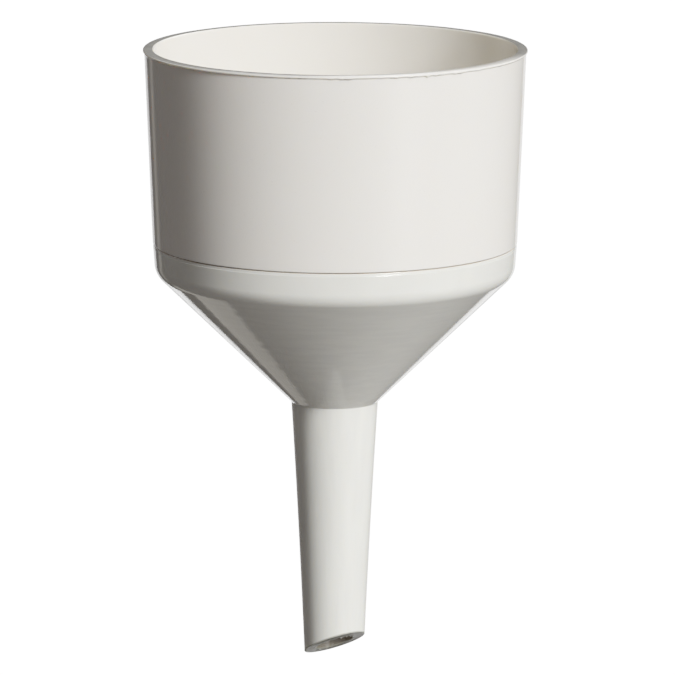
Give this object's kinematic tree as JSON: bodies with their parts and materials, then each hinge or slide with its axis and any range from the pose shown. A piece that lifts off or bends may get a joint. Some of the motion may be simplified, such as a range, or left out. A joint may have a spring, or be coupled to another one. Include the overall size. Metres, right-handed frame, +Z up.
{
  "type": "buchner funnel",
  "caption": "Two-part moulded plastic vacuum filter funnel: straight-sided bowl with a loose perforated plate, 90-degree cone and long tapered stem with a bevelled outlet.",
  "frame": {"origin": "on the funnel's axis, level with the lowest point of the stem's bevelled tip", "axes": "+Z up along the funnel's axis, out through the bowl's mouth; the stem's long tip is on the -X side, so the outlet's bevel faces +X and down"},
  "size_m": [0.1018, 0.1018, 0.1658],
  "materials": {
    "white_polypropylene": "glossy moulded",
    "plate_polypropylene": "satin moulded",
    "silicone": "translucent satin"
  },
  "bodies": {
    "lower_funnel": {"cone_and_stem": "white_polypropylene"},
    "gasket": {"joint_gasket": "silicone"},
    "bowl": {"filter_bowl": "white_polypropylene"},
    "plate": {"perforated_plate": "plate_polypropylene"}
  },
  "joints": [
    {"name": "bowl_twist", "type": "hinge", "parent": "lower_funnel", "child": "gasket", "pos_m": [0, 0, 0.114], "axis": [0, 0, 1], "continuous": true},
    {"name": "bowl_lift", "type": "slide", "parent": "gasket", "child": "bowl", "axis": [0, 0, 1], "range_m": [0, 0.05]},
    {"name": "plate_lift", "type": "slide", "parent": "bowl", "child": "plate", "axis": [0, 0, 1], "range_m": [0, 0.065]}
  ]
}
